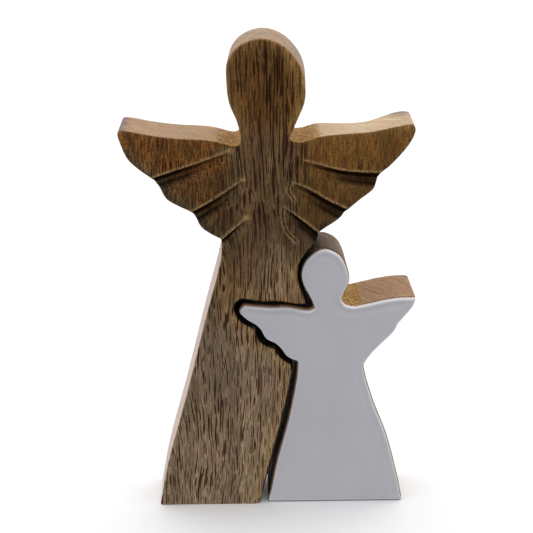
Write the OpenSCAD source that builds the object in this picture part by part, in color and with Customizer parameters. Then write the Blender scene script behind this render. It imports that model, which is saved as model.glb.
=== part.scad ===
// Nested pair of angel figures, each sawn from one board of solid wood.
// The small figure stands in a recess sawn out of the large one, and pulls out of it to
// the front or to the back. Its front face carries a thick coat of enamel.
// The front faces -Y, the wings spread along X, and the figures stand on Z = 0.

/* [Boards] */
// Height of the large figure. The outlines of both figures scale with it.
figure_h = 200; // [120:1:300]
// Thickness of the board that the large figure is sawn from
large_t = 25; // [18:0.5:32]
// Thickness of the small figure, its enamel included
small_t = 25; // [18:0.5:32]
// How far the small figure's front stands behind the large figure's front
set_back = 1.5; // [0:0.5:5]

/* [Feather carving] */
// Depth of the wall under a feather's lower edge, at the rim of the wing
cut_depth = 2; // [1:0.1:3]
// Width of the hollow under a feather's edge, from the edge to where it runs out
cut_width = 9.5; // [7:0.5:10]
// Share of its depth that a hollow has lost where it ends on the body
cut_fade = 0.95; // [0.5:0.05:0.95]
// Depth of the knife lines that close the right wing's feathers on the body
knife_depth = 0.6; // [0.3:0.1:1]

/* [Enamel] */
// Thickness of the enamel coat
enamel_t = 1.4; // [0.8:0.1:2]
// Width of the bare rim of wood left around the enamel
enamel_rim = 0.4; // [0.2:0.1:0.6]

/* [Hidden] */

drawn_h = 200;           // the outlines below are drawn for this height, in mm,
scaled = figure_h / drawn_h;
smooth = 4;              // straight pieces from one knot of a curve to the next
cut_smooth = 3;          // the same, along a carved cut
clear = 1;               // how far a cutter stands out of the face that it cuts
knife_w = 1;             // width of a knife line

// Points of the outlines are [x, z], from the large figure's centre line and the ground.

// Large figure: feet, wing tips, and the corners between its feathers, from the top
foot_l = [-45.5, 0];
foot_r = [-3, 0];
tip_l = [-57.8, 164.2];
tip_r = [57.6, 166.3];
corners_l = [[-45.6, 144.8], [-30.2, 130.9], [-18, 119.2]];
corners_r = [[45.2, 146.4], [32.8, 131.7], [20.7, 121.8]];
// Corner of the large figure that reaches in between the small one's head and wing
chin = [16.4, 91];
// Corners of the recess along the small figure's feathers, from the wing tip to the waist
ledge_1 = [-4.6, 80.7];
ledge_2 = [3.6, 72];
ledge_3 = [10.8, 64.6];

// Small figure: feet, neck, wing tips, and corners between its feathers, from the tips
small_foot_l = [0.6, 0];
small_foot_r = [58.3, 0];
neck_l = [19.4, 88.9];
neck_r = [36.4, 89.5];
small_tip_l = [-9.4, 90.4];
small_tip_r = [61.2, 93.1];
notch_l1 = [-2.6, 79.2];
notch_l2 = [5.6, 71];
notch_r = [54.2, 81.2];
waist_l = [12.8, 64.9];
waist_r = [40.3, 62.9];

function reverse(p) = [for (i = [len(p) - 1:-1:0]) p[i]];

// Smooth curve through knots. It stops short of the last, which starts the next stretch.
function along(p, i) =
    let (a = p[max(i - 1, 0)], b = p[min(i + 1, len(p) - 1)])
    (b - a) / (norm(p[i] - a) + norm(b - p[i]));
function between(a, b, ta, tb, t) =
    a * (1 + 2 * t) * pow(1 - t, 2) + b * t * t * (3 - 2 * t)
    + ta * t * pow(1 - t, 2) - tb * t * t * (1 - t);
function curve(p, n = smooth) = [
    for (i = [0:len(p) - 2])
        let (s = norm(p[i + 1] - p[i]))
        for (j = [0:n - 1])
            between(p[i], p[i + 1], along(p, i) * s, along(p, i + 1) * s, j / n)
];

// Knots of one feather's end, from its upper corner to its lower one. It bulges by belly
// at this share of its length, and by tail of that half way on to the lower corner.
// side is -1 on the left wing and 1 on the right one.
function feather(a, b, side, belly, share, tail) =
    let (d = b - a, out = side * [-d[1], d[0]] / norm(d) * belly)
    [a, a + d * share * 0.5 + out * 0.35, a + d * share + out,
     a + d * (1 + share) / 2 + out * tail, b];

// Stretches of the large figure's outline, clockwise seen from the front
function skirt_left() =
    curve([foot_l, [-41.5, 21], [-34, 49], [-25.1, 85], [-18.6, 110.5], corners_l[2]]);
function wing_left() = concat(
    curve(reverse(feather(corners_l[1], corners_l[2], -1, 1.9, 0.4, 0.75))),
    curve(reverse(feather(corners_l[0], corners_l[1], -1, 2.5, 0.48, 0.65))),
    curve([corners_l[0], [-50, 148], [-54.6, 152.4], [-57.3, 158.6], [-58.4, 162.6], tip_l]),
    curve([tip_l, [-55.5, 164.1], [-45.7, 162.2], [-36, 160.9], [-22.5, 160], [-15.2, 158.2],
           [-12.2, 157.6], [-10.4, 158.8], [-10.2, 162]]));
function head() =
    curve([[-10.2, 162], [-11.7, 167.5], [-14.7, 175], [-15.7, 184], [-15.2, 191.4],
           [-10.8, 197.2], [-3, 200], [4.4, 198.3], [10.5, 193.1], [14.2, 186],
           [14.9, 176], [12, 168], [9.4, 162]]);
function wing_right() = concat(
    curve([[9.4, 162], [9.2, 160.2], [11.5, 159.1], [15, 159.3], [20.5, 161.2], [29, 162.2],
           [41, 163.1], [53.5, 165.7], tip_r]),
    curve([tip_r, [58.5, 163.4], [55.8, 157.5], [49, 149.5], corners_r[0]]),
    curve(feather(corners_r[0], corners_r[1], 1, 2.3, 0.33, 0.45)),
    curve(feather(corners_r[1], corners_r[2], 1, 1.1, 0.33, 0.35)));
function recess() = concat(
    curve([corners_r[2], [20.4, 118.2], [16.7, 113.9], [13.8, 109.5], [12.8, 104.5],
           [13.6, 99.5], [15.6, 94], chin]),
    curve([chin, [12.2, 91], [5.3, 92.2], [-2.1, 92.2], [-11, 93.3], [-13.2, 90.5],
           [-12.4, 87], [-9.6, 83.4], ledge_1]),
    curve([ledge_1, [-3.6, 76.7], [-1, 73.7], ledge_2]),
    curve([ledge_2, [4.8, 69.3], [7.4, 66.6], ledge_3]),
    curve([ledge_3, [10.2, 57.5], [6.4, 39.4], [1.9, 20.8], foot_r]),
    [foot_r]);
large_outline = concat(skirt_left(), wing_left(), head(), wing_right(), recess());

// Stretches of the small figure's outline, clockwise seen from the front
function small_left() = concat(
    curve([small_foot_l, [4.3, 20], [8.9, 38.7], [12.1, 57], waist_l]),
    curve([waist_l, [8.4, 67.1], notch_l2]),
    curve([notch_l2, [3.6, 72.9], [-0.4, 75.2], notch_l1]),
    curve([notch_l1, [-4.5, 81.2], [-8.6, 83.9], [-11.5, 87.5], small_tip_l]),
    curve([small_tip_l, [-4.5, 89.9], [2.5, 89.3], [8.5, 89.5], [14.2, 88.3],
           [17.4, 87.9], neck_l]));
function small_head() =
    curve([neck_l, [17.8, 92.8], [14.7, 98.9], [13.8, 103.6], [15, 108.2], [18.7, 112.4],
           [23.2, 114.4], [27.2, 113.3], [30.6, 110.6], [33.4, 104], [33.6, 99.5], [31.7, 95],
           [31.2, 92.2], [32.9, 90.1], neck_r]);
function small_right() = concat(
    curve([neck_r, [42.2, 90.7], [47.8, 92], [54.2, 93], small_tip_r]),
    curve([small_tip_r, [60.6, 89.6], [56.6, 84.2], notch_r]),
    curve([notch_r, [52.9, 78.2], [47.6, 72.5], [43.4, 67.8], waist_r]),
    curve([waist_r, [41.7, 56.6], [45.6, 44.5], [50.8, 31], [56.3, 10], small_foot_r]),
    [small_foot_r]);
small_outline = concat(small_left(), small_head(), small_right());

// The outline drawn in by d along its own normals
function inset(p, d) = [
    for (i = [0:len(p) - 1])
        let (t = p[(i + 1) % len(p)] - p[(i + len(p) - 1) % len(p)])
        p[i] + d * [t[1], -t[0]] / norm(t)
];

all_x = [for (p = concat(large_outline, small_outline)) p[0]];
mid_x = (min(all_x) + max(all_x)) / 2 * scaled;      // puts the pair centrally on X = 0
mid_y = max(large_t, set_back + small_t) / 2;        // and on Y = 0
large_front = -mid_y;
small_front = set_back - mid_y;

// A board sawn to this outline, with its front face at y = front
module board(outline, front, thick) {
    translate([-mid_x, front + thick, 0])
        rotate([90, 0, 0])
            linear_extrude(height = thick)
                polygon(outline * scaled);
}

// Cutter along a line that runs from the rim inwards. Its section is a list of
// [distance below the line, depth], and it narrows and fades towards its inner end.
module carve(line, side, section, fade) {
    path = curve(line, cut_smooth);
    n = len(path);
    m = len(section);
    points = [
        for (i = [0:n - 1])
            let (t = i / (n - 1), d = path[min(i + 1, n - 1)] - path[max(i - 1, 0)],
                 below = side * [-d[1], d[0]] / norm(d) * (1 - fade * t / 2))
            for (s = section)
                let (q = (path[i] + below * s[0]) * scaled)
                [q[0] - mid_x, large_front + s[1] * (s[1] > 0 ? 1 - fade * t * t : 1), q[1]]
    ];
    sides = [
        for (i = [0:n - 2]) for (j = [0:m - 1])
            let (a = i * m + j, b = i * m + (j + 1) % m)
            for (f = [[a, b + m, b], [a, a + m, b + m]]) f
    ];
    ends = [[for (j = [0:m - 1]) j], [for (j = [m - 1:-1:0]) (n - 1) * m + j]];
    faces = concat(sides, ends);
    polyhedron(points, side > 0 ? faces : [for (f = faces) reverse(f)]);
}

// Section under a feather's edge: a steep wall, a narrow step and a long slope outwards
function hollow(share) =
    let (h = cut_depth * share, wall = h * 1.1)
    [[0, -clear], [0, 0], [wall, h], [wall + 0.9, h * 0.7], [wall + 2.3, h * 0.75],
     [cut_width * share, 0], [cut_width * share, -clear]];
knife = [[-knife_w / 2, -clear], [-knife_w / 2, 0], [0, knife_depth], [knife_w / 2, 0],
         [knife_w / 2, -clear]];

// Under the lower edge of each feather, from outside the rim to where it meets the body
module feather_cuts() {
    carve([[-49, 143.6], [-38.3, 147.3], [-28.5, 150.5], [-14.5, 155.7]], -1, hollow(1), cut_fade);
    carve([[-33.3, 129.1], [-22.9, 134.8], [-15, 140.1], [-9.5, 144]], -1, hollow(1), cut_fade);
    carve([[-20.4, 117.2], [-15.2, 121.8], [-8, 128.2]], -1, hollow(0.6), cut_fade);
    carve([[48.6, 146.5], [38.5, 146.8], [28.7, 147.9], [14.5, 151.8]], 1, hollow(1), cut_fade);
    carve([[36, 129.8], [25, 135.1], [17.1, 139.8], [10.8, 142.8]], 1, hollow(1), cut_fade);
    carve([[22.8, 119.9], [17.2, 124.8], [7, 132.7]], 1, hollow(0.7), cut_fade);
}

// Knife lines where the two lower feathers of the right wing meet the body
module knife_cuts() {
    carve([[9.4, 142.4], [8.6, 139.8], [9.2, 137.8], [10.8, 135.5]], 1, knife, 0.6);
    carve([[6.5, 131.8], [6.3, 128.2], [8, 122.4], [11.9, 118]], 1, knife, 0.6);
}

module large_angel() {
    color("peru")
        difference() {
            board(large_outline, large_front, large_t);
            feather_cuts();
            knife_cuts();
        }
}

module small_angel() {
    color("burlywood")
        board(small_outline, small_front + enamel_t, small_t - enamel_t);
}

module enamel_coat() {
    color("white")
        board(inset(small_outline, enamel_rim / scaled), small_front, enamel_t);
}

large_angel();
small_angel();
enamel_coat();
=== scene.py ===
"""Looks of the nested angel pair: sawn and carved wood, and a thick enamel coat.

Each CAD solid is replaced by a fine mesh on the same outline. Lengths are in millimetres
until a mesh is made, and a point of a figure's face is (x, z)."""

import math

import bpy
import numpy as np
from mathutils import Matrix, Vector
from mathutils.geometry import delaunay_2d_cdt


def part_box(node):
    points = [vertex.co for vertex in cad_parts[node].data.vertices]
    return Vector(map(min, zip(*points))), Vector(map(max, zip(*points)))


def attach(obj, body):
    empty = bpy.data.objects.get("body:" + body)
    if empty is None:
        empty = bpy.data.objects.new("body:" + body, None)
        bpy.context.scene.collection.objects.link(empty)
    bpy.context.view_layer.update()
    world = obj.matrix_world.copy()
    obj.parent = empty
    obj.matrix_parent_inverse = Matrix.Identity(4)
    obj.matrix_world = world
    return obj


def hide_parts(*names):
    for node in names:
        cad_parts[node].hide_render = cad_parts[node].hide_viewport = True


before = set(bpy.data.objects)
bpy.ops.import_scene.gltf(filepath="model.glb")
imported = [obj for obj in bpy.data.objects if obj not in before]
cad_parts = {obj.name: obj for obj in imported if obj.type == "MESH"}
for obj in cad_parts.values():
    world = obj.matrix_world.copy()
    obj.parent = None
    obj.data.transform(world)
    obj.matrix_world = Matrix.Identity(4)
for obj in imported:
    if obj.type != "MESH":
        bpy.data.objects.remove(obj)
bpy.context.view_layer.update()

MM = 0.001
CHUNK = 4_000_000           # pairs of a point and a segment at once, to limit memory

# Mesh sizes
OUTLINE_STEP = 0.7          # between points of a sawn outline
FRONT_STEP = 0.62           # between points of a carved or enamelled face
PLAIN_STEP = 1.6            # between points of a plain back
HIDDEN_STEP = 3.0           # between points of the enamel's back, against the wood
SIDE_STEP = 1.1             # between rows of points on a sawn side
CORNER = math.radians(26)   # an outline turns more than this only at a corner
SMOOTH = math.radians(32)   # faces that meet at less than this are shaded as one surface

# Shape of the wood
FRONT_ROUND = 0.35          # radius that a front edge is sanded to
FRONT_RINGS = [FRONT_ROUND * s for s in (0.08, 0.3, 0.62, 1)]
BACK_ROUND = 1.1            # radius that a back edge is sanded to
BACK_RINGS = [BACK_ROUND * s for s in (0.1, 0.35, 0.7, 1)]
TORN_DEPTH = 0.3            # how deep the saw tore the fibres at a wing's root
SIDE_WANDER = 0.16          # how far the saw wandered in and out halfway through the board
SANDING = 0.1               # how uneven hand sanding leaves a face
RECESS_LEAN = 0.7           # how much narrower the recess's gap is at the back
GAP_REACH = 3.6             # what is nearer than this to the other figure lines the gap

# Shape of the enamel
COAT_RINGS = [0.05, 0.16, 0.34, 0.6, 0.95, 1.4, 1.9, 2.5]
COAT_WAVES = 0.06           # how uneven the coat's face is
SHOULDER = (0.32, 1.1)      # radius of the coat's edge, where it hangs down and where it faces up

CENTRE_X = -1.4             # the large figure's centre line
LEDGE = (9.4, 64.6)         # corner of the recess at the small figure's waist

# Sections of the hollow under a feather: (distance below the cut's wall, share of its depth)
SOFT = [(1.0, 0.62), (2.6, 0.82), (5.2, 0.25)]
STEPPED = [(0.7, 0.66), (1.15, 0.78), (1.75, 0.6), (2.7, 0.8), (4.6, 0.3)]
# The feathers' lower edges in part.scad, from the rim inwards and from the centre line:
# line, side, depth, width of the hollow, and its section
FEATHERS = [
    ([(-49, 143.6), (-38.3, 147.3), (-28.5, 150.5), (-14.5, 155.7)], -1, 2.0, 10.5, SOFT),
    ([(-33.3, 129.1), (-22.9, 134.8), (-15, 140.1), (-9.5, 144)], -1, 2.0, 9.5, SOFT),
    ([(-20.4, 117.2), (-15.2, 121.8), (-8, 128.2)], -1, 1.2, 5.7, [(1.0, 0.5)]),
    ([(48.6, 146.5), (38.5, 146.8), (28.7, 147.9), (14.5, 151.8)], 1, 2.1, 10, STEPPED),
    ([(36, 129.8), (25, 135.1), (17.1, 139.8), (10.8, 142.8)], 1, 2.1, 9.5, STEPPED),
    ([(22.8, 119.9), (17.2, 124.8), (7, 132.7)], 1, 1.5, 6.6, [(0.8, 0.6), (1.3, 0.7)]),
]
WALL_SLOPE = {-1: 0.95, 1: 1.2}     # how wide a cut's wall is for its depth, on each side
WALL_SHADE = {-1: 1.4, 1: 1.6}      # how soon a cut's painted shade is darkest, from its inner end
NARROWING = 0.4         # share of its width that a hollow has lost at its inner end
FADING = 0.95           # share of its depth that it has lost there
FADE_POWER = 2.2        # how late it loses it
RIDGE_HALF = 0.29       # half width of the pale edge along a cut
GOUGE_PITCH = 2.4       # between the small dips that the gouge leaves along a hollow
GOUGE_DEPTH = 0.05
KNIFE_LINES = [
    [(9.4, 142.4), (8.6, 139.8), (9.2, 137.8), (10.8, 135.5)],
    [(6.5, 131.8), (6.3, 128.2), (8, 122.4), (11.9, 118)],
]
KNIFE_DEPTH, KNIFE_HALF = 0.7, 0.6


# ---------------------------------------------------------------- curves and fields

def unit(v):
    return v / np.maximum(np.linalg.norm(v, axis=-1, keepdims=True), 1e-9)


def smoothstep(low, high, v):
    t = np.clip((v - low) / (high - low), 0, 1)
    return t * t * (3 - 2 * t)


def bell(v, width):
    return np.exp(-(v / width) ** 2)


def hermite(a, b, way_a, way_b, count):
    """count points from a towards b, which is left out."""
    t = (np.arange(count) / count)[:, None]
    s = np.linalg.norm(b - a)
    return (a * (1 + 2 * t) * (1 - t) ** 2 + b * t * t * (3 - 2 * t)
            + way_a * s * t * (1 - t) ** 2 - way_b * s * t * t * (1 - t))


def smooth_open(points, step):
    """A smooth curve through the points."""
    p = np.array(points, float)
    way = unit(np.gradient(p, axis=0))
    runs = []
    for i in range(len(p) - 1):
        count = max(2, round(np.linalg.norm(p[i + 1] - p[i]) / step))
        runs.append(hermite(p[i], p[i + 1], way[i], way[i + 1], count))
    return np.vstack(runs + [p[-1:]])


def smooth_closed(p, step):
    """The closed outline with a smooth curve through its points, except at its corners."""
    ahead = unit(np.roll(p, -1, 0) - p)
    behind = np.roll(ahead, 1, 0)
    turn = np.arccos(np.clip((ahead * behind).sum(1), -1, 1))
    corner = turn > CORNER
    mean = unit(ahead + behind)
    leave = np.where(corner[:, None], ahead, mean)
    arrive = np.where(corner[:, None], behind, mean)
    runs = []
    for i in range(len(p)):
        j = (i + 1) % len(p)
        count = max(1, round(np.linalg.norm(p[j] - p[i]) / step))
        runs.append(hermite(p[i], p[j], leave[i], arrive[j], count))
    return np.vstack(runs)


def ease_corners(p, passes):
    """The closed outline with its corners rounded, a little more with each pass."""
    for _ in range(passes):
        p = p / 2 + (np.roll(p, 1, 0) + np.roll(p, -1, 0)) / 4
    return p


def blunted(outline, tips, passes=3, more=10):
    """The outline with its corners eased, and much rounder where tips is true."""
    near = ease_corners(tips.astype(float), 30)[:, None]
    return ease_corners(outline, passes) * (1 - near) + ease_corners(outline, more) * near


def sawn_outline(node):
    """The node's outline, anticlockwise seen from the front, read from its flat back face."""
    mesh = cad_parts[node].data
    co = np.array([v.co for v in mesh.vertices]) / MM
    back = co[:, 1].max()
    links = {}
    for face in mesh.polygons:
        ring = list(face.vertices)
        if min(co[v][1] for v in ring) < back - 0.01:
            continue
        keys = [tuple(np.round(co[v][[0, 2]], 3)) for v in ring]
        for a, b in zip(keys, keys[1:] + keys[:1]):
            links[a, b] = True
    before = {b: a for a, b in links if (b, a) not in links}
    start = next(iter(before))
    chain = [start]
    while before[chain[-1]] != start:
        chain.append(before[chain[-1]])
    p = np.array(chain)
    x, z = p.T
    area = (x * np.roll(z, -1) - np.roll(x, -1) * z).sum()
    return p if area > 0 else p[::-1]


def outwards(outline):
    """The way out of the closed outline, at each of its points."""
    ahead = unit(np.roll(outline, -1, 0) - np.roll(outline, 1, 0))
    return np.stack([ahead[:, 1], -ahead[:, 0]], 1)


def to_segments(q, p, closed=True):
    """For each point of q: its distance to the line p, how far along p the nearest point is,
    from 0 to 1, and its side of p, 1 on the left and -1 on the right."""
    a = p if closed else p[:-1]
    d = (np.roll(p, -1, 0) if closed else p[1:]) - a
    dd = np.maximum((d * d).sum(1), 1e-12)
    best, where, side = [], [], []
    for part in np.array_split(q, max(1, len(q) * len(a) // CHUNK)):
        r = part[:, None] - a[None]
        t = np.clip((r * d[None]).sum(2) / dd, 0, 1)
        gap = r - t[..., None] * d[None]
        far = (gap * gap).sum(2)
        i = far.argmin(1)
        rows = np.arange(len(part))
        best.append(np.sqrt(far[rows, i]))
        where.append((i + t[rows, i]) / len(a))
        cross = d[i, 0] * r[rows, i, 1] - d[i, 1] * r[rows, i, 0]
        side.append(np.sign(cross))
    return np.concatenate(best), np.concatenate(where), np.concatenate(side)


def distance(q, outline):
    """How far each point of q is from the closed outline."""
    return to_segments(q, outline)[0]


def inside(q, p):
    """Which points of q are inside the closed outline p."""
    x0, z0 = p.T
    x1, z1 = np.roll(p, -1, 0).T
    found = []
    for part in np.array_split(q, max(1, len(q) * len(p) // CHUNK)):
        x, z = part[:, :1], part[:, 1:]
        spans = (z0 > z) != (z1 > z)
        at = x0 + (z - z0) / np.where(z1 == z0, 1, z1 - z0) * (x1 - x0)
        found.append((spans & (x < at)).sum(1) % 2 == 1)
    return np.concatenate(found)


def waves(q, length, seed):
    """Smooth unevenness from 0 to 1, with bumps about length across."""
    count = 7
    rng = np.random.default_rng(seed)
    total = np.zeros(len(q))
    for _ in range(count):
        way = rng.uniform(0, 2 * math.pi)
        pace = 2 * math.pi / (length * rng.uniform(0.7, 1.7))
        total += np.sin(pace * (q @ [math.cos(way), math.sin(way)]) + rng.uniform(0, 6.3))
    return 0.5 + total / (2 * count)


# ---------------------------------------------------------------- carving

def centred(line, step):
    """A carved line as a smooth curve. The lines are drawn from the centre line."""
    return smooth_open(np.array(line, float) + [CENTRE_X, 0], step)


def feather_cut(q, line, side, deep, width, section):
    """One feather's cut at each point: how deep it is, its pale edge, which is partly a painted
    highlight, the painted shade in its hollows and the pits above the edge. t runs inwards
    along the cut, and u is how far below it a point is, stretched as the hollow narrows."""
    path = centred(line, 1.0)
    dist, t, sign = to_segments(q, path, closed=False)
    across = dist * sign * side
    u = across / (1 - NARROWING * t)
    fade = (1 - FADING * t ** FADE_POWER) * np.where(t < 1, 1, 0)
    wall = deep * WALL_SLOPE[side]

    knots = [0, wall] + [wall + s for s, _ in section] + [width]
    depths = [0, deep] + [deep * d for _, d in section] + [0]
    cut = np.interp(u, knots, depths) * (u > 0) * (u < width)
    gouge = np.sin(2 * math.pi * (t * len(path) / GOUGE_PITCH + 0.08 * u))
    cut += GOUGE_DEPTH * gouge * smoothstep(wall, wall + 1, u) * (1 - smoothstep(4, 7, u))

    ends = np.where(t < 1, 1, bell(dist, 0.9))
    # the pale edge along the cut: partly worn wood, partly a painted highlight where the edge
    # would catch the light
    ridge = bell(across + 0.1, RIDGE_HALF) * (0.7 + 0.3 * fade) * ends
    if side < 0:
        start = np.linalg.norm(q - path[-1], axis=1)
        ridge = np.maximum(ridge, bell(start, 1.1) * 0.8)

    # painted shade: the hollow under each cut's wall is darkened where a shadow would fall, and
    # each step of the section gets a band of painted shade below it
    dark = smoothstep(0.12, 0.45, u) * (1 - smoothstep(wall * 0.95, wall + 0.35, u))
    dark *= 1 - 0.55 * smoothstep(0.35, 0.75, t) * (side < 0)
    hollow = dark * np.clip(fade * WALL_SHADE[side], 0, 1)
    for (s, d), (_, before) in zip(section[1:], section):
        if d > before:
            span = 0.4 if section is STEPPED and s < 2 else 1.15
            second = bell(u - (wall + s), span) * (1 - smoothstep(0.4, 0.72, t))
            hollow = np.maximum(hollow, second * 0.9 * (t < 1))

    pitted = bell(across + 1.6, 1.6) * (across < 0) * (1 - smoothstep(0.25, 0.6, t))
    return cut * fade, ridge, hollow, pitted


def knife_cut(q, line):
    """The same for a thin knife line, which has no pits."""
    dist, t, _ = to_segments(q, centred(line, 0.6), closed=False)
    cut = np.clip(1 - dist / KNIFE_HALF, 0, 1)
    depth = cut * KNIFE_DEPTH * (1 - 0.5 * t)
    ridge = bell(dist - KNIFE_HALF - 0.1, 0.25) * 0.5
    # painted shade in the knife line's groove
    hollow = 0.7 * smoothstep(0, 0.9, cut) * (1 - 0.6 * t)
    return depth, ridge, hollow, np.zeros(len(q))


def carving(q):
    """Everything that was cut into the front at each point, as rows: depth, pale edge
    (partly a painted highlight), painted shade in the hollows, and pits."""
    made = np.zeros((4, len(q)))
    for feather in FEATHERS:
        made = np.maximum(made, feather_cut(q, *feather))
    for line in KNIFE_LINES:
        made = np.maximum(made, knife_cut(q, line))
    return made


def carved_depth(q):
    return carving(q)[0]


def knife_paths():
    """Lines that the front's mesh should follow, so that each carved edge stays crisp."""
    for line, side, deep, _, section in FEATHERS:
        path = centred(line, 0.4)
        way = unit(np.gradient(path, axis=0))
        below = side * np.stack([-way[:, 1], way[:, 0]], 1)
        shrink = (1 - NARROWING * np.linspace(0, 1, len(path)))[:, None]
        wall = deep * WALL_SLOPE[side]
        yield path - below * 0.35
        for off in [0, 0.35, wall * 0.6, wall] + [wall + s for s, _ in section]:
            yield path + below * off * shrink
    for line in KNIFE_LINES:
        path = centred(line, 0.35)
        way = unit(np.gradient(path, axis=0))
        normal = np.stack([-way[:, 1], way[:, 0]], 1)
        for off in (-KNIFE_HALF, 0, KNIFE_HALF):
            yield path + normal * off


# ---------------------------------------------------------------- meshes

def face_points(outline, step, offsets, lines=()):
    """Points of a flat face inside the outline: rings near it, lines, and a staggered grid."""
    inwards = -outwards(outline)
    kept = []
    for off in offsets:
        ring = outline + inwards * off
        kept.append(ring[(distance(ring, outline) > off * 0.97) & inside(ring, outline)])
    last = offsets[-1]
    if lines:
        along = np.vstack(list(lines))
        along = along[inside(along, outline)]
        along = along[distance(along, outline) > last + 0.12]
        kept.append(thin_out(along, 0.2))
    grid = staggered_grid(outline.min(0), outline.max(0), step)
    grid = grid[inside(grid, outline)]
    grid = grid[distance(grid, outline) > last + step * 0.5]
    if lines:
        grid = grid[far_from(grid, kept[-1], step * 0.5)]
    return np.vstack(kept + [grid])


def staggered_grid(low, high, step):
    """Points at the corners of even triangles."""
    rows = []
    for i, z in enumerate(np.arange(low[1], high[1], step * 0.866)):
        x = np.arange(low[0] + (i % 2) * step / 2, high[0], step)
        rows.append(np.stack([x, np.full(len(x), z)], 1))
    return np.vstack(rows)


def thin_out(points, gap):
    """The points, with those that share a cell of this size with an earlier one left out."""
    cells = np.round(points / gap).astype(int)
    first = np.unique(cells, axis=0, return_index=True)[1]
    return points[np.sort(first)]


def far_from(q, others, gap):
    """Which points of q have none of the others within about gap."""
    taken = set()
    for cx, cz in np.floor(others / gap).astype(int):
        for dx in (-1, 0, 1):
            for dz in (-1, 0, 1):
                taken.add((cx + dx, cz + dz))
    cells = np.floor(q / gap).astype(int)
    return np.array([tuple(c) not in taken for c in cells])


def fill(outline, points):
    """Triangles over the outline and the points in it, as indices, outline first.

    One with its three corners on the outline is inside it if they come in its order."""
    n = len(outline)
    verts = [Vector(v) for v in np.vstack([outline, points])]
    edges = [(i, (i + 1) % n) for i in range(n)]
    out = delaunay_2d_cdt(verts, edges, [], 0, 1e-5, False)
    if len(out[0]) != len(verts):
        raise ValueError("the triangulation added or lost points")
    found = np.array([list(f) for f in out[2]])
    on_outline = (found < n).all(axis=1)
    in_order = (found < np.roll(found, -1, axis=1)).sum(axis=1) == 2
    return found[in_order | ~on_outline]


def strip(a, b, count):
    """Faces between two closed rings of count corners, which start at corners a and b."""
    pairs = [(i, (i + 1) % count) for i in range(count)]
    return [(a + i, b + i, b + j, a + j) for i, j in pairs]


def eased(dist, radius):
    """How far a face drops near its edge when the edge is rounded to this radius."""
    d = np.clip(dist, 0, radius)
    return radius - np.sqrt(radius ** 2 - (radius - d) ** 2)


def sawn_rings(front, back, y_front, y_back, rows, tears, seed):
    """The rings of points down a sawn side: place, depth and share of the way through.

    tears is how far in the fibres may be torn at each point of the outline."""
    inwards = -outwards(front)
    drift = ((waves(front, 9, seed) - 0.5) * SIDE_WANDER)[:, None]
    rng = np.random.default_rng(seed + 1)
    for k in range(1, rows):
        s = k / rows
        bulge = math.sin(math.pi * s)
        tear = (tears * rng.random(len(front)) * min(1, 4 * bulge))[:, None]
        ring = front * (1 - s) + back * s + inwards * (drift * bulge + tear)
        yield ring, y_front * (1 - s) + y_back * s, np.full(len(front), s)


def board_mesh(front, back, y_front, y_back, root, lines=(), relief=None, seed=0):
    """Mesh of a sawn board whose front and back outlines match point for point.

    root gives how torn the side is at (x, z). Returns the corners, the faces, and for each
    corner where it is: (x, z), how far in from the outline, and how far through the board
    from 0 at the front to 1."""
    n = len(front)
    face = face_points(front, FRONT_STEP, FRONT_RINGS, lines)
    flat = np.vstack([front, face])
    in_front = distance(flat, front)
    y = y_front + eased(in_front, FRONT_ROUND) + SANDING * waves(flat, 12, seed)
    y += 0.35 * SANDING * waves(flat, 3.5, seed + 1)
    if relief is not None:
        y = y + relief(flat)

    plain = face_points(back, PLAIN_STEP, BACK_RINGS)
    rear = np.vstack([back, plain])
    in_rear = distance(rear, back)
    y_rear = y_back - eased(in_rear, BACK_ROUND) - SANDING * waves(rear, 14, seed + 2)

    rows = max(3, round((y_back - y_front) / SIDE_STEP))
    rings, ring_y, through = zip(*sawn_rings(
        front, back, y[:n], y_rear[:n], rows, TORN_DEPTH * root(front), seed + 3))

    place = np.vstack([flat, *rings, rear])
    depth = np.concatenate([y, *ring_y, y_rear])
    inset = np.concatenate([in_front, np.zeros(n * (rows - 1)), in_rear])
    share = np.concatenate([np.zeros(len(flat)), *through, np.ones(len(rear))])
    corners = np.stack([place[:, 0], depth, place[:, 1]], 1)

    faces = [tuple(f) for f in fill(front, face)]
    starts = [0] + [len(flat) + n * k for k in range(rows)]
    for a, b in zip(starts, starts[1:]):
        faces += strip(a, b, n)
    faces += [tuple(f[::-1] + starts[-1]) for f in fill(back, plain)]
    return corners, faces, place, inset, share


def make_piece(name, corners, faces, marks, material, body, node):
    """A mesh object with its marks, which are named values at each corner. It replaces the
    CAD node and keeps inside that node's box."""
    low, high = (np.array(v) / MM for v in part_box(node))
    corners = np.clip(corners, low, high)
    mesh = bpy.data.meshes.new(name)
    mesh.from_pydata((corners * MM).tolist(), [], faces)
    for key, values in marks.items():
        if values.ndim == 2:
            layer = mesh.attributes.new(key, "FLOAT_COLOR", "POINT")
            rgba = np.hstack([values, np.ones((len(values), 1))])
            layer.data.foreach_set("color", rgba.astype(np.float32).ravel())
        else:
            layer = mesh.attributes.new(key, "FLOAT", "POINT")
            layer.data.foreach_set("value", values.astype(np.float32))
    mesh.shade_smooth()
    mesh.set_sharp_from_angle(angle=SMOOTH)
    mesh.materials.append(material)
    piece = bpy.data.objects.new(name, mesh)
    bpy.context.scene.collection.objects.link(piece)
    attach(piece, body)
    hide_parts(node)
    return piece


# ---------------------------------------------------------------- shader nodes

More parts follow.
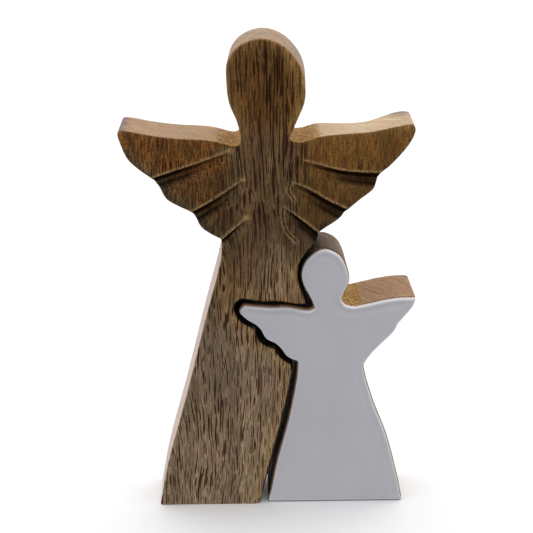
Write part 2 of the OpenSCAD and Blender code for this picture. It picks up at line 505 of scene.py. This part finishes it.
class Nodes:
    """A material's node tree, with one short call for each kind of node."""

    def __init__(self, name):
        self.material = bpy.data.materials.new(name)
        self.material.use_nodes = True
        self.tree = self.material.node_tree
        self.shader = self.tree.nodes["Principled BSDF"]

    def put(self, socket, value):
        if isinstance(value, bpy.types.NodeSocket):
            self.tree.links.new(value, socket)
        else:
            socket.default_value = value

    def node(self, kind, **settings):
        made = self.tree.nodes.new("ShaderNode" + kind)
        for key, value in settings.items():
            setattr(made, key, value)
        return made

    def math(self, operation, *values, clamp=False):
        made = self.node("Math", operation=operation, use_clamp=clamp)
        for socket, value in zip(made.inputs, values):
            self.put(socket, value)
        return made.outputs[0]

    def times(self, a, b, clamp=False):
        return self.math("MULTIPLY", a, b, clamp=clamp)

    def plus(self, a, b):
        return self.math("ADD", a, b)

    def less(self, a, b, clamp=False):
        return self.math("SUBTRACT", a, b, clamp=clamp)

    def vector(self, operation, *values):
        made = self.node("VectorMath", operation=operation)
        for socket, value in zip(made.inputs, values):
            self.put(socket, value)
        return made.outputs[0]

    def place(self, shift):
        """Where a point is, in millimetres, moved by shift so that boards differ."""
        where = self.node("TexCoord").outputs["Object"]
        scaled = self.vector("MULTIPLY", where, (1 / MM,) * 3)
        return self.vector("ADD", scaled, shift)

    def grey(self, value):
        made = self.node("CombineColor")
        for socket in made.inputs:
            self.put(socket, value)
        return made.outputs[0]

    def mark(self, name, output="Fac"):
        return self.node("Attribute", attribute_name=name).outputs[output]

    def flat(self, at):
        """(x, z) of a point for patterns of lines along Z, with y mixed in for the sides."""
        split = self.node("SeparateXYZ")
        self.put(split.inputs[0], at)
        made = self.node("CombineXYZ")
        across = self.times(split.outputs[1], 0.8)
        self.put(made.inputs[0], self.plus(split.outputs[0], across))
        self.put(made.inputs[1], split.outputs[2])
        return made.outputs[0]

    def cells(self, at, size, flat=False):
        """Space cut into cells of this size: the distance to the nearest cell's middle."""
        made = self.node("TexVoronoi", voronoi_dimensions="2D" if flat else "3D")
        self.put(made.inputs["Vector"], self.vector("DIVIDE", at, size))
        made.inputs["Scale"].default_value = 1
        return made.outputs["Distance"]

    def noise(self, at, size, detail=2.0, rough=0.5, output="Fac"):
        """Smooth noise with bumps of about this size in x, y and z."""
        made = self.node("TexNoise")
        self.put(made.inputs["Vector"], self.vector("DIVIDE", at, size))
        made.inputs["Scale"].default_value = 1
        made.inputs["Detail"].default_value = detail
        made.inputs["Roughness"].default_value = rough
        return made.outputs[output]

    def ramp(self, value, low, high, to_low=0.0, to_high=1.0):
        made = self.node("MapRange", interpolation_type="SMOOTHSTEP")
        for socket, v in zip(made.inputs, (value, low, high, to_low, to_high)):
            self.put(socket, v)
        return made.outputs[0]

    def mix(self, share, a, b, how="MIX"):
        made = self.node("Mix", data_type="RGBA", blend_type=how)
        self.put(made.inputs[0], share)
        self.put(made.inputs[6], a)
        self.put(made.inputs[7], b)
        return made.outputs[2]

    def tinted(self, colour, by):
        return self.mix(1.0, colour, by, "MULTIPLY")

    def bump(self, height, distance):
        made = self.node("Bump")
        made.inputs["Distance"].default_value = distance
        self.put(made.inputs["Height"], height)
        self.put(self.shader.inputs["Normal"], made.outputs[0])


# ---------------------------------------------------------------- wood

# Sizes of the wood's patterns, in x, y and z
SWAY, RIPPLE = (30, 30, 90), (5, 5, 16)     # how the grain wanders
SWAY_BY, RIPPLE_BY = (12, 12, 0), (0.7, 0.7, 0)
CROWDS = (5, 5, 24)         # where the pores are long and many, or short and few
THREADS = (0.75, 0.75, 34)  # thin lines of the grain
BANDS = (4, 4, 80)
HUES = (5, 5, 14)
FIBRES = (0.5, 0.5, 4)
FLECKS = (0.7, 0.7, 0.9)
CLOUDS = (14, 14, 24)
SAW_LINES = (26, 1.1, 26)
HAIRS, HAIRS_TURN = (0.45, 16, 5), (0.4, 0.0, -0.62)    # slanting scratches of the saw
BLOTCHES = (5, 2.5, 5)
RAGS = (2.2, 2.2, 2.2)
SPONGE = (0.9, 0.9, 0.9)
CHIPS = (1.1, 1.1, 1.6)
SHADE_MOTTLE = (1.6, 1.6, 2.4)
# Layers of pores: where each starts, and the size of the cell that holds one pore
VESSELS = [((0, 0, 0), (1.2, 22, 1)), ((40, 9, 0), (1.35, 42, 1)), ((20, 33, 0), (1.25, 14, 1))]

# What the wood's colour is multiplied by
PORE_SHADE = (0.15, 0.075, 0.05, 1)
PALE_THREAD = (1.36, 1.38, 1.40, 1)
OLIVE = (0.97, 1.02, 0.95, 1)
RUSSET = (1.04, 0.98, 1.03, 1)
# What covers it
BLUE_STAIN = (0.15, 0.11, 0.12, 1)
PALE_SCRATCH = (0.84, 0.72, 0.57, 1)
GOLD_DARK = (0.14, 0.058, 0.010, 1)
GOLD_LIGHT = (0.74, 0.42, 0.115, 1)
# painted shade: the near-black colour laid over the carved hollows and along the gap between the
# figures
PAINTED_SHADE_COLOUR = (0.006, 0.004, 0.003, 1)
# pale worn edges, and the pale edge of each cut, which is partly a painted highlight
WEAR_AND_HIGHLIGHT = (0.85, 0.52, 0.24, 1)
WOOD_SPECULAR = 0.15


def wood(name, shift):
    """Open-pored hardwood with its grain along Z. The piece's marks set its colour."""
    n = Nodes(name)
    at = n.place(shift)
    grain = wandering(n, at)
    raw = n.mark("raw")
    fibre = n.noise(grain, FIBRES, detail=1.5, rough=0.6)
    sawn = n.noise(at, SAW_LINES, detail=3, rough=0.65)
    sponge = n.noise(at, SPONGE, detail=4, rough=0.7)
    torn = torn_share(n, at)
    hairs = saw_hairs(n, at)
    scratch = n.times(n.ramp(hairs, 0.61, 0.7), raw)
    pores, pale = pore_pattern(n, grain)
    painted_shade = painted_shade_share(n, at)

    light = brightness(n, at, grain, fibre, sawn, raw)
    colour = n.tinted(n.mark("tint", "Color"), n.grey(light))
    hue = n.ramp(n.noise(grain, HUES, detail=3, rough=0.6), 0.36, 0.64)
    colour = n.tinted(colour, n.mix(hue, OLIVE, RUSSET))
    colour = n.mix(pale, colour, n.tinted(colour, PALE_THREAD))
    colour = n.mix(pores, colour, n.tinted(colour, PORE_SHADE))
    colour = n.mix(n.times(stain_share(n, at), 0.8), colour, BLUE_STAIN)
    drag = n.ramp(hairs, 0.3, 0.7, 0.87, 1.13)
    colour = n.mix(raw, colour, n.tinted(colour, n.grey(drag)))
    colour = n.mix(n.times(scratch, n.mark("scored")), colour, PALE_SCRATCH)
    gold = n.mix(n.ramp(sponge, 0.34, 0.66), GOLD_DARK, GOLD_LIGHT)
    colour = n.mix(torn, colour, gold)
    chips = n.noise(at, CHIPS, detail=3, rough=0.7)
    # worn edges, and the cut edges' pale line, which is partly a painted highlight
    colour = n.mix(n.times(n.mark("wear_and_highlight"), n.ramp(chips, 0.34, 0.54)), colour, WEAR_AND_HIGHLIGHT)
    # painted shade over the carved hollows and along the gap between the figures
    colour = n.mix(painted_shade, colour, PAINTED_SHADE_COLOUR)
    n.put(n.shader.inputs["Base Color"], colour)

    gloss = n.ramp(fibre, 0.2, 0.8, 0.5, 0.66)
    n.put(n.shader.inputs["Roughness"], n.plus(gloss, n.times(pores, 0.2)))
    # no sheen where the painted shade lies
    matt = n.times(n.less(1.0, painted_shade, clamp=True), WOOD_SPECULAR)
    n.put(n.shader.inputs["Specular IOR Level"], matt)

    height = n.plus(n.times(pores, -0.18), n.times(fibre, 0.08))
    height = n.plus(height, n.times(n.times(sawn, raw), 0.1))
    height = n.plus(height, n.times(scratch, 0.05))
    height = n.plus(height, n.times(n.times(sponge, torn), 0.6))
    n.bump(height, MM)
    return n.material


def wandering(n, at):
    """The place, moved so that lines along Z wander as grain does."""
    sway = n.vector("SUBTRACT", n.noise(at, SWAY, output="Color"), (0.5, 0.5, 0.5))
    ripple = n.vector("SUBTRACT", n.noise(at, RIPPLE, output="Color"), (0.5, 0.5, 0.5))
    grain = n.vector("ADD", at, n.vector("MULTIPLY", sway, SWAY_BY))
    return n.vector("ADD", grain, n.vector("MULTIPLY", ripple, RIPPLE_BY))


def pore_pattern(n, grain):
    """Where the dark pores and grain lines are, and the pale wood beside them."""
    crowd = n.noise(grain, CROWDS, detail=3, rough=0.6)
    reach = n.ramp(crowd, 0.32, 0.66, 0.15, 0.21)
    flat = n.flat(grain)
    pores, rims = 0.0, 0.0
    for start, size in VESSELS:
        dark, rim = vessels(n, n.vector("ADD", flat, start), size, reach)
        pores = n.math("MAXIMUM", dark, pores)
        rims = n.math("MAXIMUM", rim, rims)
    thread = n.noise(grain, THREADS, detail=1.5, rough=0.5)
    lines = n.times(n.ramp(thread, 0.535, 0.575), n.mark("lines"))
    beside = n.times(n.ramp(thread, 0.47, 0.525), n.mark("lines"))
    pores = n.math("MAXIMUM", n.times(pores, n.mark("pores")), lines, clamp=True)
    pale = n.math("MAXIMUM", n.times(rims, n.mark("pores")), beside, clamp=True)
    return pores, pale


def vessels(n, grain, size, reach):
    """Long dark pores along the grain, one in each cell, and the pale rims round them."""
    far = n.cells(grain, size, flat=True)
    dark = n.ramp(far, n.less(reach, 0.05), reach, 1.0, 0.0)
    rim = n.ramp(far, n.plus(reach, 0.04), n.plus(reach, 0.16), 1.0, 0.0)
    return dark, rim


def brightness(n, at, grain, fibre, sawn, raw):
    """Light and dark of the wood between its pores, on a sanded face and on a sawn one."""
    fleck = n.noise(at, FLECKS, detail=1.5, rough=0.6)
    bands = n.ramp(n.noise(grain, BANDS, detail=3, rough=0.6), 0.3, 0.7, 0.85, 1.15)
    fine = n.plus(n.times(fibre, 1.3), n.less(fleck, 1.15))
    fine = n.times(fine, n.mark("fuss"))
    cloud = n.ramp(n.noise(at, CLOUDS, detail=2), 0.3, 0.7, 0.93, 1.07)
    sanded = n.times(n.times(bands, n.plus(1.0, fine)), cloud)
    rough = n.times(n.ramp(sawn, 0.3, 0.7, 0.93, 1.07), n.ramp(fleck, 0.3, 0.7, 0.82, 1.18))
    return n.plus(n.times(rough, raw), n.times(sanded, n.less(1.0, raw)))


def saw_hairs(n, at):
    """Noise drawn out into hairlines that slant across a sawn side."""
    turned = n.node("VectorRotate", rotation_type="EULER_XYZ")
    n.put(turned.inputs["Vector"], at)
    turned.inputs["Rotation"].default_value = HAIRS_TURN
    return n.noise(turned.outputs[0], HAIRS, detail=2, rough=0.6)


def torn_share(n, at):
    """The torn wood at a wing's root, with a ragged border."""
    ragged = n.less(n.noise(at, RAGS, detail=3, rough=0.6), 0.5)
    torn = n.plus(n.mark("torn"), n.times(ragged, 0.7))
    return n.ramp(torn, 0.22, 0.58)


def stain_share(n, at):
    """Bluish stain, in blotches where the mark is weak."""
    blotches = n.ramp(n.noise(at, BLOTCHES, detail=4, rough=0.6), 0.62, 0.42)
    return n.ramp(n.less(n.mark("stain"), n.times(blotches, 0.5)), 0.0, 0.5)


def painted_shade_share(n, at):
    """Painted shade: how far the near-black shade colour covers the wood, a little uneven."""
    mottle = n.noise(at, SHADE_MOTTLE, detail=3, rough=0.6)
    return n.times(n.mark("painted_shade"), n.ramp(mottle, 0.2, 0.6, 0.9, 1.06), clamp=True)


# ---------------------------------------------------------------- enamel

ENAMEL_COOL, ENAMEL_LIGHT = (0.80, 0.785, 0.845, 1), (0.84, 0.825, 0.88, 1)
ENAMEL_RIM_HIGHLIGHT = (0.985, 0.975, 0.985, 1)     # painted highlight: a whiter line along the rim
ENAMEL_THIN = (0.50, 0.36, 0.24, 1)         # at the very edge, where wood shows through
PIT_DUST = (0.3, 0.27, 0.26, 1)


def enamel():
    """Thick white enamel, brushed on and glossy, with a few pits where bubbles burst, and a
    painted highlight along its rim.
    """
    n = Nodes("white_enamel")
    at = n.place((0, 0, 0))
    cloud = n.noise(at, (22, 22, 30), detail=2)
    colour = n.mix(n.ramp(cloud, 0.3, 0.7), ENAMEL_COOL, ENAMEL_LIGHT)
    pit = n.ramp(n.cells(at, (7, 7, 7)), 0.03, 0.05, 1.0, 0.0)
    colour = n.mix(n.times(pit, 0.6), colour, PIT_DUST)
    # painted highlight along the rim
    colour = n.mix(n.mark("thick"), colour, ENAMEL_RIM_HIGHLIGHT)
    colour = n.mix(n.mark("thin"), colour, ENAMEL_THIN)
    n.put(n.shader.inputs["Base Color"], colour)
    n.put(n.shader.inputs["Roughness"], n.ramp(n.noise(at, (2, 2, 2)), 0.3, 0.7, 0.16, 0.24))
    n.shader.inputs["Specular IOR Level"].default_value = 0.35
    ripples = n.times(n.noise(at, (2.6, 2.6, 2.6), detail=2), 0.05)
    n.bump(n.plus(ripples, n.times(pit, -0.15)), MM)
    return n.material


# ---------------------------------------------------------------- the large figure

# Heights over which one zone passes into the next
TO_HIGH_SKIRT = (78, 98)
TO_BODY = (92, 130)
TO_HEAD = (156, 172)
TO_WING_TOP = (150, 160)    # on the sawn side
TO_CROWN = (162, 172)
WINGS_FROM, CROWN_FROM = 150, 172

# Colours of the stained front, on the left and on the right where they differ
SKIRT = (0.525, 0.369, 0.23)
SKIRT_HIGH = (0.33, 0.18, 0.084)
SKIRT_WARM = (0.60, 0.38, 0.155)
BODY = (0.182, 0.108, 0.047)
HEAD = (0.16, 0.073, 0.0155)
HEAD_RIM_L = (0.28, 0.145, 0.046)
HEAD_RIM_R = (0.40, 0.22, 0.07)
WING_GREY = (0.165, 0.11, 0.05)
WING_L = (0.235, 0.092, 0.019)
WING_R = (0.255, 0.117, 0.026)
# Colours of the sawn sides and the back
RAW_TOP_L = (0.40, 0.242, 0.13)
RAW_TOP_R = (0.56, 0.395, 0.23)
RAW_HEAD = (0.37, 0.24, 0.14)
RAW_SIDE = (0.72, 0.58, 0.51)
BACK_STAIN = (0.40, 0.27, 0.165)


def blend(weights, colours):
    """Each point's colour, from how much each zone weighs there."""
    total = sum(weights)
    return sum(w[:, None] * np.array(c, float) for w, c in zip(weights, colours)) / total[:, None]


def front_shade(x, z):
    """Where the front's stain is darker (about the waist, on both sides below the top
    feathers, on the right of the hem) or lighter (beside the small figure's head)."""
    shade = 1 - 0.3 * smoothstep(30, 60, z) * (1 - smoothstep(120, 140, z))
    low_wing = (1 - smoothstep(142, 150, z)) * smoothstep(9, 15, abs(x))
    shade = shade * (1 - low_wing * np.where(x > 0, 0.31, 0.24))
    shade = shade * (1 - 0.16 * smoothstep(-22, -8, x) * (1 - smoothstep(44, 60, z)))
    return shade * (1 + 0.3 * smoothstep(-8, 4, x) * bell(z - 102, 13))


def front_tints(x, z, inset, mate):
    """Colours of the front, by zone: head and its rim, body, wings, skirt and its warm
    parts. x is from the centre line, and mate is the distance to the small figure."""
    head = smoothstep(*TO_HEAD, z)
    rim = head * bell(inset, 4.5)
    skirt = 1 - smoothstep(*TO_BODY, z)
    warm = skirt * np.clip(bell(mate, 6) + bell(x + 18, 5) * bell(z - 104, 14), 0, 1) * 0.8
    plain = skirt - warm
    high = plain * smoothstep(*TO_HIGH_SKIRT, z) * (1 - 0.7 * smoothstep(-14, 4, x))
    flank = smoothstep(9, 16, abs(x)) * smoothstep(114, 132, z) * (1 - smoothstep(160, 168, z))
    body = np.clip(1 - head - skirt - flank, 0.02, 1)
    grey = (z < 157) * (bell(inset, 4) + 0.8 * bell(abs(x) - 11, 6) + 0.3 * (z < 147)) * flank
    grey = np.clip(grey * np.where(x < 0, 0.9, 0.3), 0, flank)
    gilt = flank - grey
    tints = blend(
        [head - rim, rim * (x < 0), rim * (x > 0), plain - high, high, warm, grey,
         gilt * (x < 0), gilt * (x > 0), body],
        [HEAD, HEAD_RIM_L, HEAD_RIM_R, SKIRT, SKIRT_HIGH, SKIRT_WARM, WING_GREY,
         WING_L, WING_R, BODY])
    return tints * front_shade(x, z)[:, None]


def sawn_tints(x, z):
    """Colours of the sawn side: the tops of the wings, the crown and the rest."""
    top = smoothstep(*TO_WING_TOP, z)
    crown = smoothstep(*TO_CROWN, z)
    wing = top * (1 - crown)
    tints = blend([1 - top + 1e-3, wing * (x < 0), wing * (x > 0), crown],
                  [RAW_SIDE, RAW_TOP_L, RAW_TOP_R, RAW_HEAD])
    cream = (1 + wing * bell(x + 22, 5))[:, None]
    return tints * cream ** [0.2, 0.2, 0.1]


def large_roots(q):
    """How torn the sawn side is, at the roots of the large figure's wings."""
    x, z = q.T
    reach = np.where(x < 0, 6.2, 7.5)
    return np.clip(1.4 * bell(abs(x - CENTRE_X) - 12.5, reach) * bell(z - 160, 5), 0, 1)


def large_outlines(mates):
    """The large figure's outlines at the front and at the back, point for point."""
    front = ease_corners(smooth_closed(sawn_outline("large_angel"), OUTLINE_STEP), 2)
    back = blunted(front, abs(front[:, 0]) > 50)
    x, z = front.T
    leaning = RECESS_LEAN * (distance(front, mates) < GAP_REACH) * smoothstep(6, 14, z)
    back += leaning[:, None] * outwards(front)
    right_wing = 1.6 * smoothstep(14, 34, x) * (1 - smoothstep(38, 54, x))
    back[:, 1] -= right_wing * smoothstep(*TO_WING_TOP, z)
    back[:, 0] += 1.1 * smoothstep(164, 176, z) + 1.2 * smoothstep(48, 56, x)
    back[:, 0] += 0.8 * bell(np.hypot(x - LEDGE[0], z - LEDGE[1]), 2.5)
    return front, back


def large_grain(x, z, inset, on_front, raw, pitted):
    """How strong the pores, the grain lines and the fine light and dark are."""
    flank = smoothstep(12, 22, abs(x - CENTRE_X)) * smoothstep(118, 130, z)
    right = flank * (x > 0)
    upper = smoothstep(100, 135, z)
    rim = smoothstep(*TO_HEAD, z) * bell(inset, 3.5)
    pores = np.where(on_front, 1 - 0.4 * upper + 0.1 * flank - 0.3 * right - 0.1 * rim, 0.8)
    pores = pores + on_front * pitted * 0.9
    lines = (0.35 + 0.65 * upper) * (1 - 0.5 * flank - 0.25 * right) * (1 - 0.2 * rim)
    lines = np.where(on_front, lines, 0.4)
    fuss = np.where(on_front, 0.9 + 0.3 * upper + 1.1 * flank - 0.7 * right, 0.8)
    return {"pores": pores * (1 - raw) + 0.12 * raw, "lines": lines * (1 - raw), "fuss": fuss}


def large_painted_shade(inset, mate, on_front, on_back, hollow):
    """Painted shade: near black in the carved hollows, and on the wall and brim of the recess,
    where the gap to the small figure is in shade.
    """
    recess = (mate < GAP_REACH) & ~on_front & ~on_back
    painted_shade = np.where(on_front, hollow * 0.94, recess * 0.97)
    brim = on_front & (mate < GAP_REACH)
    return np.where(brim, np.maximum(painted_shade, 1 - smoothstep(0.25, 0.6, inset)), painted_shade)


def large_wear(x, z, share):
    """Bluish stain and scratches on the sawn side of the wings and the crown."""
    wings = z > WINGS_FROM
    crown = z > CROWN_FROM
    left_tip = bell(x + 60, 4) * smoothstep(149, 154, z)
    left_patch = 0.3 * bell(x + 32, 4) * wings
    right_tip = 0.9 * bell(x - 55, 7) * wings * smoothstep(0.5, 0.95, share)
    stain = np.clip(left_tip + left_patch + right_tip + 0.3 * crown, 0, 1)
    scored = 0.15 + 0.8 * smoothstep(26, 40, x) * wings + 0.15 * crown
    return stain, scored


def large_marks(place, inset, share, mates):
    """The large figure's marks at each corner of its mesh."""
    x, z = place.T
    depth, ridge, hollow, pitted = carving(place)
    mate = distance(place, mates)
    on_front = share == 0
    on_back = share == 1
    raw = np.where(on_front, 1 - smoothstep(0.03, 0.25, inset),
                   1 - on_back * smoothstep(0.1, 0.9, inset))
    # painted shade: the front is darker where the carving is deeper
    carved = 1 - 0.22 * smoothstep(0.1, 1.2, depth)
    front = front_tints(x - CENTRE_X, z, inset, mate) * carved[:, None]
    face = np.where(on_front[:, None], front, np.array(BACK_STAIN))
    tint = face * (1 - raw[:, None]) + sawn_tints(x - CENTRE_X, z) * raw[:, None]
    frayed = bell(inset - 0.25, 0.2) * (0.1 + 0.6 * (z > 180)) * (mate > 4)
    # frayed edges are wear; the cut ridges are partly wear and partly a painted highlight
    wear_and_highlight = on_front * np.clip(frayed + ridge * 0.95, 0, 1)
    stain, scored = large_wear(x, z, share)
    return {"tint": tint, **large_grain(x, z, inset, on_front, raw, pitted), "wear_and_highlight": wear_and_highlight,
            "painted_shade": large_painted_shade(inset, mate, on_front, on_back, hollow), "raw": raw,
            "torn": raw * large_roots(place), "stain": raw * stain, "scored": scored}


def large_angel():
    low, high = (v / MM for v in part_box("large_angel"))
    mates = sawn_outline("small_angel")
    front, back = large_outlines(mates)
    corners, faces, place, inset, share = board_mesh(
        front, back, low.y, high.y, large_roots, list(knife_paths()), carved_depth, seed=11)
    make_piece("large_figure", corners, faces, large_marks(place, inset, share, mates),
               wood("stained_board", (0, 0, 0)), "large_angel", "large_angel")


# ---------------------------------------------------------------- the small figure

CORE = (0.36, 0.21, 0.108)          # the small figure's plain wood
PAINTED_SHADOW = [0.67, 0.71, 0.73]          # painted shadow: share of that colour taken away on the side of its head, most on the left, where the large figure's wing shades it
LIP = [0.35, 0.2, 0.1]              # share added just behind the enamel, beside the gap
FOOT_EDGE = 0.5                     # where it is lower than this, its corners are rounder


def small_root(q):
    """How torn the sawn side is, at the root of the small figure's right wing."""
    x, z = q.T
    return 0.9 * bell(x - 32, 6.5) * bell(z - 90, 5)


def small_outlines():
    """The small figure's outlines at the front and at the back, point for point."""
    front = smooth_closed(sawn_outline("small_angel"), OUTLINE_STEP)
    front = blunted(front, front[:, 1] < FOOT_EDGE, 1, 5)
    back = blunted(front, (front[:, 0] > 52) & (front[:, 1] > 60))
    x, z = front.T
    back[:, 1] -= 0.4 * smoothstep(98, 108, z)
    back[:, 0] -= 0.3 * smoothstep(24, 32, x) * smoothstep(96, 104, z)
    raised = 1.3 * smoothstep(34, 46, x) + 1.1 * bell(x - 36, 6)
    back[:, 1] += raised * smoothstep(72, 84, z)
    back[:, 0] -= 1.6 * smoothstep(30, 44, x) * (1 - smoothstep(56, 66, z))
    return front, back


def small_marks(place, inset, share, mates):
    """The small figure's marks at each corner of its mesh."""
    x, z = place.T
    n = len(place)
    mate = distance(place, mates)
    side = (share > 0) & (share < 1)
    raw = np.where(share == 1, 1 - smoothstep(0.1, 0.9, inset), 1.0)
    # painted shadow on the head's side, under the large figure's wing
    painted_shadow = smoothstep(100, 106, z) * (1 - 0.6 * smoothstep(24, 33, x))
    lip = (mate < 4) * (1 - smoothstep(0.02, 0.12, share))
    tint = np.array(CORE) * (1 - painted_shadow[:, None] * PAINTED_SHADOW) * (1 + lip[:, None] * LIP)
    # painted shade on the sawn side along the gap to the large figure, less on the head's top
    painted_shade = side * (mate < GAP_REACH) * smoothstep(0.01, 0.09, share) * 0.9
    painted_shade = painted_shade * (1 - 0.7 * smoothstep(107, 111, z))
    tip = bell(x - 58, 4) * (z > 60) * smoothstep(0.7, 1, share)
    stain = np.clip(0.8 * tip + 0.15 * (z > 104), 0, 1)
    return {"tint": tint, "pores": np.where(raw > 0.5, 0.3, 0.7), "lines": np.zeros(n),
            "fuss": np.full(n, 0.8), "wear_and_highlight": np.zeros(n), "painted_shade": painted_shade, "raw": raw,
            "torn": raw * small_root(place), "stain": raw * stain, "scored": np.full(n, 0.3)}


def small_angel():
    low, high = (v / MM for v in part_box("small_angel"))
    mates = sawn_outline("large_angel")
    front, back = small_outlines()
    corners, faces, place, inset, share = board_mesh(
        front, back, low.y, high.y, small_root, seed=31)
    make_piece("small_figure", corners, faces, small_marks(place, inset, share, mates),
               wood("plain_board", (140, 60, 35)), "small_angel", "small_angel")


def coat_drop(outline, flat, inset, along):
    """How far behind the foremost plane the enamel's face lies. It gathers along edges that
    face up, in a wide shoulder with a dip inside it, and has run off those that face down."""
    n = len(outline)
    upward = ease_corners(outwards(outline)[:, 1], 12)[(along * n).astype(int) % n]
    narrow, wide = SHOULDER
    radius = narrow + (wide - narrow) * smoothstep(-0.1, 0.8, upward)
    t = np.clip(inset / radius, 0, 1)
    drop = 0.95 * radius * (1 - np.sqrt(np.maximum(1 - (1 - t) ** 2, 0)))
    settled = smoothstep(-0.2, 0.6, upward)
    dip = (0.16 * smoothstep(1.0, 2.6, inset) - 0.12 * smoothstep(2.7, 5, inset)) * settled
    return drop + dip + COAT_WAVES * waves(flat, 13, 51)


def enamel_coat():
    low, high = (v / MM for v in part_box("enamel_coat"))
    outline = smooth_closed(sawn_outline("enamel_coat"), OUTLINE_STEP)
    outline = blunted(outline, outline[:, 1] < FOOT_EDGE, 0, 5)
    n = len(outline)
    face = face_points(outline, FRONT_STEP, COAT_RINGS)
    flat = np.vstack([outline, face])
    inset, along, _ = to_segments(flat, outline)
    y = low.y + 0.05 + coat_drop(outline, flat, inset, along)

    back = np.vstack([outline, face_points(outline, HIDDEN_STEP, [0.5])])
    place = np.vstack([flat, back])
    depth = np.concatenate([y, np.full(len(back), high.y)])
    corners = np.stack([place[:, 0], depth, place[:, 1]], 1)
    base = len(flat)
    faces = [tuple(f) for f in fill(outline, face)]
    faces += strip(0, base, n)
    faces += [tuple(f[::-1] + base) for f in fill(outline, back[n:])]

    behind = np.zeros(len(back))
    marks = {"thin": np.concatenate([0.4 * bell(inset, 0.07), behind]),
             # a painted highlight in a band just inside the rim
             "thick": np.concatenate([bell(inset - 0.4, 0.3), behind])}
    make_piece("enamel_front", corners, faces, marks, enamel(),
               "small_angel", "enamel_coat")


# ---------------------------------------------------------------- camera, floor and light

CAMERA_PLACE = (-0.0155, -0.55475, 0.2966)
CAMERA_DOWN, CAMERA_RIGHT = 19.23, 1.48     # degrees
LENS, SENSOR = 96.03, 36
FLOOR_HALF = 4.0
FLOOR_WHITE = (0.96, 0.96, 0.96, 1)
# Brightness of the studio round the object, by height (-1 is straight down) and by how
# far behind the object (-1 is straight in front of it). The two are multiplied.
SKY_HEIGHT = [(-1, 0.06), (-0.1, 0.08), (0.03, 1.5), (0.4, 1.1), (1, 0.6)]
SKY_DEPTH = [(-1, 0.5), (-0.2, 0.95), (0.2, 1.2), (1, 1.3)]
SKY_TINT = (0.985, 0.99, 1.0, 1)
SUN_WAY = (0.25, 0.35, 0.9)
SUN_STRENGTH, SUN_SPREAD = 0.5, 70


def camera():
    data = bpy.data.cameras.new("camera")
    data.lens = LENS
    data.sensor_width = SENSOR
    data.clip_start, data.clip_end = 0.02, 20
    made = bpy.data.objects.new("camera", data)
    made.location = CAMERA_PLACE
    made.rotation_euler = (math.radians(90 - CAMERA_DOWN), 0, math.radians(-CAMERA_RIGHT))
    bpy.context.scene.collection.objects.link(made)
    bpy.context.scene.camera = made


def floor():
    """A plain white floor, which throws no light back up on the object."""
    mesh = bpy.data.meshes.new("floor")
    s = FLOOR_HALF
    mesh.from_pydata([(-s, -s, 0), (s, -s, 0), (s, s, 0), (-s, s, 0)], [], [(0, 1, 2, 3)])
    n = Nodes("floor")
    n.shader.inputs["Base Color"].default_value = FLOOR_WHITE
    n.shader.inputs["Roughness"].default_value = 0.9
    n.shader.inputs["Specular IOR Level"].default_value = 0.1
    mesh.materials.append(n.material)
    made = bpy.data.objects.new("floor", mesh)
    made.visible_diffuse = False
    bpy.context.scene.collection.objects.link(made)


def sun():
    """A distant soft light from above and behind."""
    data = bpy.data.lights.new("ceiling", "SUN")
    data.energy = SUN_STRENGTH
    data.angle = math.radians(SUN_SPREAD)
    made = bpy.data.objects.new("ceiling", data)
    made.rotation_euler = Vector(SUN_WAY).to_track_quat("Z", "Y").to_euler()
    bpy.context.scene.collection.objects.link(made)


def sky_ramp(tree, value, stops):
    """The brightness that the stops give for a value from -1 to 1."""
    share = tree.nodes.new("ShaderNodeMapRange")
    share.inputs["From Min"].default_value = -1
    tree.links.new(value, share.inputs["Value"])
    ramp = tree.nodes.new("ShaderNodeValToRGB")
    made = ramp.color_ramp.elements
    for v, bright in stops:
        stop = made.new((v + 1) / 2)
        stop.color = (bright, bright, bright, 1)
    made.remove(made[0])
    made.remove(made[len(made) - 1])
    tree.links.new(share.outputs[0], ramp.inputs[0])
    return ramp.outputs[0]


def sky_mix(tree, how, share, a, b):
    mix = tree.nodes.new("ShaderNodeMix")
    mix.data_type = "RGBA"
    mix.blend_type = how
    for socket, value in zip((mix.inputs[0], mix.inputs[6], mix.inputs[7]), (share, a, b)):
        if isinstance(value, bpy.types.NodeSocket):
            tree.links.new(value, socket)
        else:
            socket.default_value = value
    return mix.outputs[2]


def sky():
    """A studio that is bright above and behind the object; the camera sees plain white."""
    world = bpy.data.worlds.new("studio")
    world.use_nodes = True
    bpy.context.scene.world = world
    tree = world.node_tree
    where = tree.nodes.new("ShaderNodeTexCoord")
    split = tree.nodes.new("ShaderNodeSeparateXYZ")
    tree.links.new(where.outputs["Generated"], split.inputs[0])
    high = sky_ramp(tree, split.outputs["Z"], SKY_HEIGHT)
    deep = sky_ramp(tree, split.outputs["Y"], SKY_DEPTH)
    shade = sky_mix(tree, "MULTIPLY", 1.0, high, deep)
    shade = sky_mix(tree, "MULTIPLY", 1.0, shade, SKY_TINT)
    rays = tree.nodes.new("ShaderNodeLightPath")
    shade = sky_mix(tree, "MIX", rays.outputs["Is Camera Ray"], shade, (1, 1, 1, 1))
    tree.links.new(shade, tree.nodes["Background"].inputs[0])


def studio():
    scene = bpy.context.scene
    scene.view_settings.view_transform = "Standard"
    scene.view_settings.look = "None"
    camera()
    sky()
    sun()
    floor()


studio()
large_angel()
small_angel()
enamel_coat()
